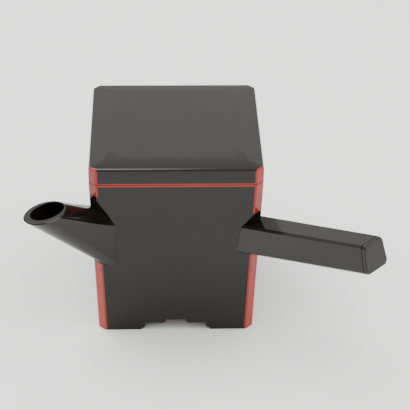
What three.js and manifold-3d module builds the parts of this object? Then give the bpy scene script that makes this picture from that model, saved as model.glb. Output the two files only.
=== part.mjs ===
// Square lacquered hot-water pot: tapered box body, lift-off lid, corner spout and corner handle.
// Millimetres, +Z up. The front face looks towards -Y, the spout leaves the front left corner
// and the handle leaves the front right corner.
import * as THREE from 'three';
import { ConvexGeometry } from 'three/addons/geometries/ConvexGeometry.js';
import { mergeVertices } from 'three/addons/utils/BufferGeometryUtils.js';
import Module from 'manifold-3d';

const wasm = await Module();
wasm.setup();

// Body
const bodyTopWidth = 106;
const bodyBottomWidth = 98.8;
const bodyHeight = 112.2;
const wall = 4;
const cornerChamfer = 4.2;
const innerChamfer = 10;
const boardUnderside = 9;
const boardThickness = 4;
const ledgeWidth = 2.5;

// Bracket feet
const footOpeningHalf = 22;
const footStepHalf = 19.2;
const footStepHeight = 5.3;
const footStepInner = 9.6;
const archHalf = 6;
const archHeight = 8;

// Lid
const lidSideTop = 123.5;
const lidCrown = 1.4;
const lidEdge = 1.9;
const lidWall = 4;
const rimWall = 3;
const rimDepth = 8;
const rimHeadroom = 0.3;

// Clearances
const seatGap = 0.3;
const lidClearance = 0.5;

// Spout, in its own vertical plane: reach is measured from the axis of the body
const spoutMouthReach = 109.7;
const spoutMouthHeight = 109;
const spoutMouthHalfLength = 14.7;
const spoutMouthHalfWidth = 10.4;
const spoutMouthBevel = 0.8;
const spoutLip = 3.2;
const spoutTopHalf = 7.4;
const spoutTopReach = 66.5;
const spoutBottomReach = 64.4;
const spoutTopHeight = 91.4;
const spoutShoulderHalf = 10.6;
const spoutShoulderHeight = 84.2;
const spoutBottomHalf = 7.7;
const spoutBottomHeight = 49.7;
const spoutSideHeight = 56;
const spoutRootReach = 50;
const spoutWall = 3;
const portRadius = 6;
const portHeight = 72;

// Handle
const handleRootReach = 64.8;
const handleEndReachTop = 158.4;
const handleEndReachBottom = 163.5;
const handleRootTop = 81.9;
const handleRootBottom = 63.9;
const handleEndTop = 111.4;
const handleEndBottom = 94.2;
const handleRootHalfTop = 8.8;
const handleRootHalfBottom = 10.2;
const handleEndHalfTop = 8.3;
const handleEndHalfBottom = 9.4;
const handleEdge = 1.3;
const capThickness = 2.4;
const handleInset = 14.8;

// Handle bolt
const boltRadius = 2.5;
const boltHeadRadius = 5;
const boltHeadThickness = 2.5;
const boltLength = 20;
const washerThickness = 1.5;
const boltClearance = 0.3;

const roundSegments = 24;

function solidFrom(geometry) {
  const bare = geometry.clone();
  bare.deleteAttribute('normal');
  if (bare.attributes.uv) bare.deleteAttribute('uv');
  const merged = mergeVertices(bare, 1e-4);
  return new wasm.Manifold(new wasm.Mesh({
    numProp: 3,
    vertProperties: new Float32Array(merged.attributes.position.array),
    triVerts: new Uint32Array(merged.index.array),
  }));
}

function geometryFrom(solid) {
  const mesh = solid.getMesh();
  const geometry = new THREE.BufferGeometry();
  geometry.setAttribute('position', new THREE.BufferAttribute(mesh.vertProperties, 3));
  geometry.setIndex(new THREE.BufferAttribute(mesh.triVerts, 1));
  geometry.computeVertexNormals();
  return geometry;
}

function convex(points) {
  return solidFrom(new ConvexGeometry(points));
}

// Square with chamfered corners, at one height
function chamferedSquare(half, chamfer, z) {
  const near = half - chamfer;
  const corners = [[half, near], [near, half], [-near, half], [-half, near],
    [-half, -near], [-near, -half], [near, -half], [half, -near]];
  return corners.map(([x, y]) => new THREE.Vector3(x, y, z));
}

function bodyHalf(z) {
  return (bodyBottomWidth + (bodyTopWidth - bodyBottomWidth) * z / bodyHeight) / 2;
}

// Tapered chamfered block that follows the body's sides, moved out by offset
function bodyBlock(low, high, offset) {
  const chamfer = cornerChamfer + offset * (2 - Math.SQRT2);
  const section = (z) => chamferedSquare(bodyHalf(z) + offset, chamfer, z);
  return convex([...section(low), ...section(high)]);
}

// Point in the vertical plane of a corner: reach outwards, side across it, height up
function cornerPoint(direction, reach, side, height) {
  const across = new THREE.Vector3(-direction.y, direction.x, 0);
  return direction.clone().multiplyScalar(reach).addScaledVector(across, side).setZ(height);
}

const spoutDirection = new THREE.Vector3(-1, -1, 0).normalize();
const handleDirection = new THREE.Vector3(1, -1, 0).normalize();
const spoutPoint = (reach, side, height) => cornerPoint(spoutDirection, reach, side, height);
const handlePoint = (reach, side, height) => cornerPoint(handleDirection, reach, side, height);

// Round bar between two points
function roundBar(from, to, radius) {
  const bar = new THREE.CylinderGeometry(radius, radius, from.distanceTo(to), roundSegments);
  const along = to.clone().sub(from).normalize();
  bar.applyQuaternion(new THREE.Quaternion().setFromUnitVectors(new THREE.Vector3(0, 1, 0), along));
  const middle = from.clone().add(to).multiplyScalar(0.5);
  bar.translate(middle.x, middle.y, middle.z);
  return solidFrom(bar);
}

// Bracket-foot outline, cut through all four sides of the skirt
function footCutter() {
  const outline = new THREE.Shape();
  outline.moveTo(-footOpeningHalf, -1);
  outline.lineTo(-footOpeningHalf, 1);
  outline.quadraticCurveTo(-footStepHalf, 1, -footStepHalf, footStepHeight);
  outline.lineTo(-footStepInner, footStepHeight);
  outline.quadraticCurveTo(-archHalf, footStepHeight, -archHalf, archHeight);
  outline.lineTo(archHalf, archHeight);
  outline.quadraticCurveTo(archHalf, footStepHeight, footStepInner, footStepHeight);
  outline.lineTo(footStepHalf, footStepHeight);
  outline.quadraticCurveTo(footStepHalf, 1, footOpeningHalf, 1);
  outline.lineTo(footOpeningHalf, -1);
  outline.closePath();
  const depth = bodyTopWidth * 1.2;
  const cutter = new THREE.ExtrudeGeometry(outline, { depth, bevelEnabled: false, curveSegments: 4 });
  cutter.rotateX(Math.PI / 2);
  cutter.translate(0, depth / 2, 0);
  const across = cutter.clone().rotateZ(Math.PI / 2);
  return solidFrom(cutter).add(solidFrom(across));
}

const cornerFace = (z) => bodyHalf(z) * Math.SQRT2 - cornerChamfer / Math.SQRT2;
const boltHeight = (handleRootTop + handleRootBottom) / 2;

// Tapered block that follows the inside of the walls, drawn in by inset
function cavityBlock(low, high, inset) {
  const chamfer = innerChamfer - inset * (2 - Math.SQRT2);
  const section = (z) => chamferedSquare(bodyHalf(z) - wall - inset, chamfer, z);
  return convex([...section(low), ...section(high)]);
}

function buildBodyShell() {
  const cavity = cavityBlock(boardUnderside, bodyHeight + 1, 0);
  const skirt = cavityBlock(-1, boardUnderside + 1, ledgeWidth);
  const inside = cornerFace(portHeight) - innerChamfer * 1.2;
  const port = roundBar(spoutPoint(inside, 0, portHeight), spoutPoint(inside + innerChamfer * 2.4, 0, portHeight), portRadius);
  const boltInside = cornerFace(boltHeight) - innerChamfer * 1.2;
  const boltHole = roundBar(handlePoint(boltInside, 0, boltHeight),
    handlePoint(boltInside + innerChamfer * 2.4, 0, boltHeight), boltRadius + boltClearance);
  return bodyBlock(0, bodyHeight, 0).subtract(cavity).subtract(skirt).subtract(footCutter())
    .subtract(port).subtract(boltHole);
}

function buildBottomBoard() {
  return cavityBlock(boardUnderside + seatGap, boardUnderside + boardThickness, seatGap);
}

function lidSection(inset, z) {
  return chamferedSquare(bodyTopWidth / 2 - inset, cornerChamfer - inset * (2 - Math.SQRT2), z);
}

function buildLidCover() {
  const base = bodyHeight + seatGap;
  const outer = convex([...lidSection(0, base), ...lidSection(0, lidSideTop - lidEdge),
    ...lidSection(lidEdge * 0.3, lidSideTop - lidEdge * 0.3), ...lidSection(lidEdge, lidSideTop),
    ...lidSection(lidEdge * 5, lidSideTop + lidCrown * 0.7), ...lidSection(lidEdge * 12, lidSideTop + lidCrown)]);
  const hollow = convex([...lidSection(lidWall, base - 1), ...lidSection(lidWall, lidSideTop - lidWall)]);
  return outer.subtract(hollow);
}

function buildLidRim() {
  const low = bodyHeight - rimDepth;
  const high = lidSideTop - lidWall - rimHeadroom;
  const inset = wall + lidClearance;
  const section = (extra, z) => chamferedSquare(bodyTopWidth / 2 - inset - extra,
    innerChamfer - extra * (2 - Math.SQRT2), z);
  const outer = convex([...section(0.3, low), ...section(0, bodyHeight), ...section(0, high)]);
  const inner = convex([...section(rimWall, low - 1), ...section(rimWall, high + 1)]);
  return outer.subtract(inner);
}

function mouthRing(shrink, height) {
  const points = [];
  for (let i = 0; i < roundSegments; i += 1) {
    const angle = i * 2 * Math.PI / roundSegments;
    points.push(spoutPoint(spoutMouthReach + (spoutMouthHalfLength - shrink) * Math.cos(angle),
      (spoutMouthHalfWidth - shrink) * Math.sin(angle), height));
  }
  return points;
}

// Cross-section where the spout meets the body; reach is pushed inside and trimmed by the body
function spoutRoot(shrink) {
  const topSlope = (spoutMouthHeight - spoutTopHeight) / (spoutMouthReach - spoutMouthHalfLength - spoutTopReach);
  const bottomSlope = (spoutMouthHeight - spoutBottomHeight) / (spoutMouthReach + spoutMouthHalfLength - spoutBottomReach);
  const topDrop = (spoutTopReach - spoutRootReach) * topSlope + shrink;
  const bottomDrop = (spoutBottomReach - spoutRootReach) * bottomSlope - shrink;
  const sides = [[spoutTopHalf, spoutTopHeight - topDrop], [spoutShoulderHalf, spoutShoulderHeight - topDrop],
    [spoutShoulderHalf, spoutSideHeight - bottomDrop], [spoutBottomHalf, spoutBottomHeight - bottomDrop]];
  return sides.flatMap(([half, height]) => [-1, 1].map(
    (side) => spoutPoint(spoutRootReach, side * (half - shrink), height)));
}

function buildSpoutShell() {
  const outer = convex([...mouthRing(0, spoutMouthHeight), ...mouthRing(spoutMouthBevel, spoutMouthHeight + spoutMouthBevel), ...spoutRoot(0)]);
  const inner = convex([...mouthRing(spoutLip, spoutMouthHeight + 2), ...spoutRoot(spoutWall)]);
  return outer.subtract(inner).subtract(bodyBlock(-1, bodyHeight, seatGap));
}

// Four-sided handle section with eased edges
function handleSection(reachTop, reachBottom, top, bottom, halfTop, halfBottom, ease) {
  const reachAt = (height) => reachTop + (reachBottom - reachTop) * (top - height) / (top - bottom);
  const corners = [[halfTop - ease, top], [halfTop, top - ease],
    [halfBottom, bottom + ease], [halfBottom - ease, bottom]];
  return corners.flatMap(([half, height]) => [-1, 1].map(
    (side) => handlePoint(reachAt(height), side * half, height)));
}

// Section at a distance back from the end face, along the handle
function handleAt(back, ease) {
  const share = back / (handleEndReachTop - handleRootReach);
  const mix = (end, root) => end + (root - end) * share;
  return handleSection(handleEndReachTop - back, handleEndReachBottom - back,
    mix(handleEndTop, handleRootTop), mix(handleEndBottom, handleRootBottom),
    mix(handleEndHalfTop, handleRootHalfTop), mix(handleEndHalfBottom, handleRootHalfBottom), ease);
}

function buildHandleBar() {
  const rootBack = handleEndReachTop - handleRootReach + handleInset;
  const bar = convex([...handleAt(capThickness + seatGap, handleEdge), ...handleAt(rootBack, handleEdge)]);
  const hole = roundBar(handlePoint(handleRootReach - handleInset, 0, boltHeight),
    handlePoint(boltHeadFace() + boltLength + boltClearance, 0, boltHeight), boltRadius + boltClearance);
  return bar.subtract(bodyBlock(-1, bodyHeight, seatGap)).subtract(hole);
}

function buildHandleCap() {
  return convex([...handleAt(capThickness, handleEdge), ...handleAt(1, handleEdge),
    ...handleAt(0, handleEdge * 1.6)]);
}

// Inside face of the corner, where the washer's lower edge comes nearest
function boltInsideFace() {
  return (bodyHalf(boltHeight - boltHeadRadius) - wall) * Math.SQRT2 - innerChamfer / Math.SQRT2;
}

function boltHeadFace() {
  return boltInsideFace() - seatGap * 2 - washerThickness;
}

function buildWasher() {
  const outer = boltInsideFace() - seatGap;
  const ring = roundBar(handlePoint(outer - washerThickness, 0, boltHeight), handlePoint(outer, 0, boltHeight), boltHeadRadius + 1);
  const hole = roundBar(handlePoint(outer - washerThickness - 1, 0, boltHeight),
    handlePoint(outer + 1, 0, boltHeight), boltRadius + boltClearance);
  return ring.subtract(hole);
}

function buildBolt() {
  const headFace = boltHeadFace();
  const head = roundBar(handlePoint(headFace - boltHeadThickness, 0, boltHeight), handlePoint(headFace, 0, boltHeight), boltHeadRadius);
  const shank = roundBar(handlePoint(headFace - 1, 0, boltHeight), handlePoint(headFace + boltLength, 0, boltHeight), boltRadius);
  return head.add(shank);
}

const blackLacquer = { color: 0x14110f, roughness: 0.22, metalness: 0 };
const redLacquer = { color: 0x9c2416, roughness: 0.25, metalness: 0 };
const steel = { color: 0xa8a8a4, roughness: 0.35, metalness: 1 };
const packing = { color: 0x2a2a2a, roughness: 0.8, metalness: 0 };

const pieces = [
  ['body_shell', buildBodyShell, blackLacquer],
  ['bottom_board', buildBottomBoard, redLacquer],
  ['lid_cover', buildLidCover, blackLacquer],
  ['lid_rim', buildLidRim, redLacquer],
  ['spout_shell', buildSpoutShell, blackLacquer],
  ['handle_bar', buildHandleBar, blackLacquer],
  ['handle_end_cap', buildHandleCap, blackLacquer],
  ['handle_bolt', buildBolt, steel],
  ['handle_washer', buildWasher, packing],
];

const pot = new THREE.Group();
for (const [name, build, finish] of pieces) {
  const mesh = new THREE.Mesh(geometryFrom(build()), new THREE.MeshStandardMaterial(finish));
  mesh.name = name;
  pot.add(mesh);
}

// The origin is at the middle of the whole object's footprint
const extent = new THREE.Box3().setFromObject(pot);
const middle = extent.getCenter(new THREE.Vector3());
pot.position.set(-middle.x, -middle.y, 0);

export default pot;
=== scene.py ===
"""Studio scene of a square lacquered hot-water pot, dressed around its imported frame."""
import math

import bpy
from mathutils import Matrix, Vector


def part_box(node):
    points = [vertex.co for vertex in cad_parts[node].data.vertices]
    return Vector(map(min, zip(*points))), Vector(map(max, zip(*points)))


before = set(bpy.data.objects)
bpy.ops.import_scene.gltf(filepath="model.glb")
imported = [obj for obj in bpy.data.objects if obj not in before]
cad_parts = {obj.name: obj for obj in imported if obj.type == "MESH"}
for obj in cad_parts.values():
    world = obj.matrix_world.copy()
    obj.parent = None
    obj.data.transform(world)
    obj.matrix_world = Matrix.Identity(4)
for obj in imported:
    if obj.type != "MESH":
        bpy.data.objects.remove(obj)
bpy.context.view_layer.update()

# Places taken from the frame, in metres
BODY_LOW, BODY_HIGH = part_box("body_shell")
WIDTH = BODY_HIGH[0] - BODY_LOW[0]
CENTRE = Vector(((BODY_LOW[0] + BODY_HIGH[0]) / 2, (BODY_LOW[1] + BODY_HIGH[1]) / 2, 0))
SEAM = BODY_HIGH[2]
LID_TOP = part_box("lid_cover")[1][2]

# The body's sides taper from the seam down to the feet
TOP_HALF = WIDTH / 2
BOTTOM_HALF = WIDTH * 0.466
CHAMFER = 0.0042

# Painted zones: the red line at the seam, and the heights between which a limb's corner stays black
RIM_BAND = 0.0011
LID_BAND = 0.0012
LID_TOP_MARGIN = 0.0016
SPOUT_BLACK = (0.0530, 0.1040)
HANDLE_BLACK = (0.0670, 0.0912)
CHAMFER_PAINT = CHAMFER * 1.28

# The inside is red: everything this far within the outer faces, above the feet and below the lid's top
INSIDE_MARGIN = 0.002
INSIDE_CORNER = CHAMFER * 2
INSIDE_FLOOR = 0.009
INSIDE_CEILING = LID_TOP - 0.004

# Finishes
BLACK = (0.006, 0.0048, 0.0032, 1)
RED = (0.33, 0.022, 0.012, 1)
STEEL = (0.6, 0.6, 0.58, 1)
PACKING = (0.03, 0.03, 0.03, 1)
DUST = (0.09, 0.085, 0.08, 1)
LACQUER_ROUGHNESS = 0.09
RED_ROUGHNESS = 0.2
STEEL_ROUGHNESS = 0.35
PACKING_ROUGHNESS = 0.7
LACQUER_IOR = 1.41
RIPPLE_SCALE = 55
RIPPLE_STRENGTH = 0.03
RIPPLE_DEPTH = 0.001
SMUDGE_SCALE = 24
DUST_SCALE = 90
DUST_SIZE = 0.02

# Rounded edges
WELD_DISTANCE = 0.00002
FLAT_ANGLE = math.radians(0.5)
EDGE_ANGLE = math.radians(28)
EDGE_SEGMENTS = 3
WIDE_EDGE = 0.0006
LID_EDGE = 0.0005
SMALL_EDGE = 0.0003
TINY_EDGE = 0.0002

# Camera: distance and target in widths of the pot, angles in degrees
CAMERA_DISTANCE = 9.3721
CAMERA_TARGET = (0.1838, 0.0, 0.5956)
CAMERA_ELEVATION = 33.3532
CAMERA_AZIMUTH = -2.2021
CAMERA_ROLL = 0.9181
CAMERA_LENS = 134.3
SENSOR_WIDTH = 36

# Studio
FLOOR_SIZE = 8
FLOOR_DROP = 0.0002
FLOOR_PALE = (0.93, 0.93, 0.925, 1)
FLOOR_PALEST = (0.95, 0.95, 0.945, 1)
SKY_LOW = (0.5, 0.5, 0.495, 1)
SKY_HIGH = (1.4, 1.4, 1.38, 1)
SKY_HIGH_FROM = 0.5
LAMP_SIZE = 0.9
KEY_PLACE = (-0.5, 0.3, 1.2)
KEY_WATTS = 15
FILL_PLACE = (0.7, -0.2, 1.1)
FILL_WATTS = 8


def nodes_of(name):
    """A new material, its nodes, and the function that links two sockets."""
    material = bpy.data.materials.new(name)
    material.use_nodes = True
    tree = material.node_tree
    return material, tree.nodes, tree.links.new


def math_node(nodes, link, operation, *values):
    """A math node fed by numbers and sockets, and its result."""
    node = nodes.new("ShaderNodeMath")
    node.operation = operation
    for socket, value in zip(node.inputs, values):
        if isinstance(value, (int, float)):
            socket.default_value = value
        else:
            link(value, socket)
    return node.outputs[0]


def noise(nodes, link, place, scale, detail):
    """Noise that is fixed to the piece."""
    node = nodes.new("ShaderNodeTexNoise")
    node.inputs["Scale"].default_value = scale
    node.inputs["Detail"].default_value = detail
    link(place, node.inputs["Vector"])
    return node.outputs["Fac"]


def polished_surface(nodes, link, roughness):
    """The shader of a polished surface, with faint ripples and uneven gloss, and the place on the piece."""
    shader = nodes["Principled BSDF"]
    shader.inputs["IOR"].default_value = LACQUER_IOR
    place = nodes.new("ShaderNodeTexCoord").outputs["Object"]
    bump = nodes.new("ShaderNodeBump")
    bump.inputs["Strength"].default_value = RIPPLE_STRENGTH
    bump.inputs["Distance"].default_value = RIPPLE_DEPTH
    link(noise(nodes, link, place, RIPPLE_SCALE, 2), bump.inputs["Height"])
    link(bump.outputs["Normal"], shader.inputs["Normal"])
    gloss = nodes.new("ShaderNodeMapRange")
    gloss.inputs["To Min"].default_value = roughness * 0.75
    gloss.inputs["To Max"].default_value = roughness * 1.3
    link(noise(nodes, link, place, SMUDGE_SCALE, 6), gloss.inputs["Value"])
    link(gloss.outputs["Result"], shader.inputs["Roughness"])
    return shader, place


def mixed(nodes, link, factor, first, second):
    """Two colours mixed by a factor; the first may be a colour or a socket."""
    mix = nodes.new("ShaderNodeMix")
    mix.data_type = "RGBA"
    link(factor, mix.inputs["Factor"])
    if isinstance(first, tuple):
        mix.inputs["A"].default_value = first
    else:
        link(first, mix.inputs["A"])
    mix.inputs["B"].default_value = second
    return mix.outputs["Result"]


def dusted(nodes, link, place, base):
    """The base colour with tiny pale specks of dust."""
    specks = nodes.new("ShaderNodeTexVoronoi")
    specks.inputs["Scale"].default_value = DUST_SCALE
    link(place, specks.inputs["Vector"])
    near = math_node(nodes, link, "LESS_THAN", specks.outputs["Distance"], DUST_SIZE)
    return mixed(nodes, link, near, base, DUST)


def plain_finish(name, colour, roughness):
    """One colour all over, polished or matt."""
    material, nodes, link = nodes_of(name)
    shader, place = polished_surface(nodes, link, roughness)
    link(dusted(nodes, link, place, colour), shader.inputs["Base Color"])
    return material


def zoned_lacquer(name, is_lid):
    """Black faces, red chamfers, seam line and inside, and black corners where the limbs join."""
    material, nodes, link = nodes_of(name)
    shader, place = polished_surface(nodes, link, LACQUER_ROUGHNESS)

    def calc(operation, *values):
        return math_node(nodes, link, operation, *values)

    split = nodes.new("ShaderNodeSeparateXYZ")
    link(place, split.inputs[0])
    x = calc("SUBTRACT", split.outputs[0], CENTRE.x)
    y = calc("SUBTRACT", split.outputs[1], CENTRE.y)
    z = split.outputs[2]
    size_x = calc("ABSOLUTE", x)
    size_y = calc("ABSOLUTE", y)
    taper = 0.0 if is_lid else (TOP_HALF - BOTTOM_HALF) / SEAM
    half = calc("MULTIPLY_ADD", z, taper, TOP_HALF if is_lid else BOTTOM_HALF)
    corner = calc("SUBTRACT", calc("MULTIPLY", half, 2), calc("ADD", size_x, size_y))
    at_front = calc("LESS_THAN", y, 0)

    def limb_zone(on_its_side, heights):
        between = calc("MULTIPLY", calc("GREATER_THAN", z, heights[0]), calc("LESS_THAN", z, heights[1]))
        return calc("MULTIPLY", calc("MULTIPLY", on_its_side, at_front), between)

    spout_zone = limb_zone(calc("LESS_THAN", x, 0), SPOUT_BLACK)
    handle_zone = limb_zone(calc("GREATER_THAN", x, 0), HANDLE_BLACK)
    unjoined = calc("SUBTRACT", 1, calc("MAXIMUM", spout_zone, handle_zone))
    painted = calc("MULTIPLY", calc("LESS_THAN", corner, CHAMFER_PAINT), unjoined)
    if is_lid:
        painted = calc("MULTIPLY", painted, calc("LESS_THAN", z, LID_TOP - LID_TOP_MARGIN))
        line = calc("LESS_THAN", z, SEAM + LID_BAND)
    else:
        line = calc("GREATER_THAN", z, SEAM - RIM_BAND)

    inside = calc("LESS_THAN", calc("MAXIMUM", size_x, size_y), calc("SUBTRACT", half, INSIDE_MARGIN))
    inside = calc("MULTIPLY", inside, calc("LESS_THAN", z, INSIDE_CEILING))
    inside = calc("MULTIPLY", inside, calc("GREATER_THAN", z, INSIDE_FLOOR))
    inside = calc("MULTIPLY", inside, calc("GREATER_THAN", corner, INSIDE_CORNER))
    red = calc("MAXIMUM", calc("MAXIMUM", painted, line), inside)
    lacquer = mixed(nodes, link, red, BLACK, RED)
    link(dusted(nodes, link, place, lacquer), shader.inputs["Base Color"])
    return material


def brushed_steel():
    """Plain metal for the bolt."""
    material, nodes, link = nodes_of("brushed_steel")
    shader, _ = polished_surface(nodes, link, STEEL_ROUGHNESS)
    shader.inputs["Base Color"].default_value = STEEL
    shader.inputs["Metallic"].default_value = 1
    return material


def smooth_shading_group():
    """Geometry nodes that shade a piece smooth, so that rounded edges and the crown read as curves."""
    group = bpy.data.node_groups.new("smooth_shading", "GeometryNodeTree")
    for direction in ("INPUT", "OUTPUT"):
        group.interface.new_socket("Geometry", in_out=direction, socket_type="NodeSocketGeometry")
    start = group.nodes.new("NodeGroupInput")
    end = group.nodes.new("NodeGroupOutput")
    smooth = group.nodes.new("GeometryNodeSetShadeSmooth")
    group.links.new(start.outputs[0], smooth.inputs["Geometry"])
    group.links.new(smooth.outputs[0], end.inputs[0])
    return group


def dress(node, material, edge, smooth_shading):
    """Gives a CAD node its finish and rounds its edges."""
    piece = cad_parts[node]
    piece.data.materials.clear()
    piece.data.materials.append(material)
    weld = piece.modifiers.new("weld", "WELD")
    weld.merge_threshold = WELD_DISTANCE
    flatten = piece.modifiers.new("flatten", "DECIMATE")
    flatten.decimate_type = "DISSOLVE"
    flatten.angle_limit = FLAT_ANGLE
    smoothing = piece.modifiers.new("smoothing", "NODES")
    smoothing.node_group = smooth_shading
    rounding = piece.modifiers.new("rounding", "BEVEL")
    rounding.width = edge
    rounding.segments = EDGE_SEGMENTS
    rounding.limit_method = "ANGLE"
    rounding.angle_limit = EDGE_ANGLE
    evened = piece.modifiers.new("evened", "WEIGHTED_NORMAL")
    evened.weight = 100
    evened.mode = "FACE_AREA"


def dress_pot():
    """Every CAD node with its finish and the width of its rounded edges."""
    black = plain_finish("black_lacquer_finish", BLACK, LACQUER_ROUGHNESS)
    red = plain_finish("red_lacquer_finish", RED, RED_ROUGHNESS)
    finishes = {
        "body_shell": (zoned_lacquer("body_lacquer", False), WIDE_EDGE),
        "lid_cover": (zoned_lacquer("lid_lacquer", True), LID_EDGE),
        "bottom_board": (red, SMALL_EDGE),
        "lid_rim": (red, SMALL_EDGE),
        "spout_shell": (black, WIDE_EDGE),
        "handle_bar": (black, WIDE_EDGE),
        "handle_end_cap": (black, LID_EDGE),
        "handle_bolt": (brushed_steel(), TINY_EDGE),
        "handle_washer": (plain_finish("packing_finish", PACKING, PACKING_ROUGHNESS), TINY_EDGE),
    }
    smooth_shading = smooth_shading_group()
    for node, (material, edge) in finishes.items():
        dress(node, material, edge, smooth_shading)


def make_camera():
    """The photograph's camera: a long lens, above the front face and a little rolled."""
    elevation = math.radians(CAMERA_ELEVATION)
    azimuth = math.radians(CAMERA_AZIMUTH)
    roll = math.radians(CAMERA_ROLL)
    level = math.cos(elevation)
    back = Vector((math.sin(azimuth) * level, -math.cos(azimuth) * level, math.sin(elevation)))
    across = Vector((0, 0, 1)).cross(back).normalized()
    upwards = back.cross(across)
    right = across * math.cos(roll) + upwards * math.sin(roll)
    top = upwards * math.cos(roll) - across * math.sin(roll)
    data = bpy.data.cameras.new("camera")
    data.lens = CAMERA_LENS
    data.sensor_width = SENSOR_WIDTH
    data.dof.use_dof = False
    camera = bpy.data.objects.new("camera", data)
    bpy.context.collection.objects.link(camera)
    place = CENTRE + (Vector(CAMERA_TARGET) + back * CAMERA_DISTANCE) * WIDTH
    camera.matrix_world = Matrix.Translation(place) @ Matrix((right, top, back)).transposed().to_4x4()
    bpy.context.scene.camera = camera


def make_light(name, place, energy):
    """A square soft light that faces the pot."""
    data = bpy.data.lights.new(name, "AREA")
    data.size = LAMP_SIZE
    data.energy = energy
    lamp = bpy.data.objects.new(name, data)
    bpy.context.collection.objects.link(lamp)
    lamp.location = place
    lamp.rotation_euler = (CENTRE - Vector(place)).to_track_quat("-Z", "Y").to_euler()


def make_floor():
    """Pale matt floor."""
    material, nodes, link = nodes_of("floor")
    shader = nodes["Principled BSDF"]
    shader.inputs["Roughness"].default_value = 0.9
    shader.inputs["Specular IOR Level"].default_value = 0.1
    grain = nodes.new("ShaderNodeTexNoise")
    grain.inputs["Scale"].default_value = 3
    ramp = nodes.new("ShaderNodeValToRGB")
    ramp.color_ramp.elements[0].color = FLOOR_PALE
    ramp.color_ramp.elements[1].color = FLOOR_PALEST
    link(grain.outputs["Fac"], ramp.inputs["Fac"])
    link(ramp.outputs["Color"], shader.inputs["Base Color"])
    bpy.ops.mesh.primitive_plane_add(size=FLOOR_SIZE, location=(0, 0, -FLOOR_DROP))
    floor = bpy.context.object
    floor.name = "floor"
    floor.data.materials.append(material)


def make_surround():
    """A pale surround, darker at the horizon and brighter overhead."""
    world = bpy.data.worlds.new("studio")
    bpy.context.scene.world = world
    world.use_nodes = True
    nodes = world.node_tree.nodes
    link = world.node_tree.links.new
    background = nodes["Background"]
    background.inputs["Strength"].default_value = 1.0
    direction = nodes.new("ShaderNodeTexCoord")
    height = nodes.new("ShaderNodeSeparateXYZ")
    shade = nodes.new("ShaderNodeValToRGB")
    shade.color_ramp.elements[0].color = SKY_LOW
    shade.color_ramp.elements[1].position = SKY_HIGH_FROM
    shade.color_ramp.elements[1].color = SKY_HIGH
    link(direction.outputs["Generated"], height.inputs[0])
    link(height.outputs["Z"], shade.inputs["Fac"])
    link(shade.outputs["Color"], background.inputs["Color"])


dress_pot()
make_camera()
make_floor()
make_surround()
make_light("key", KEY_PLACE, KEY_WATTS)
make_light("fill", FILL_PLACE, FILL_WATTS)
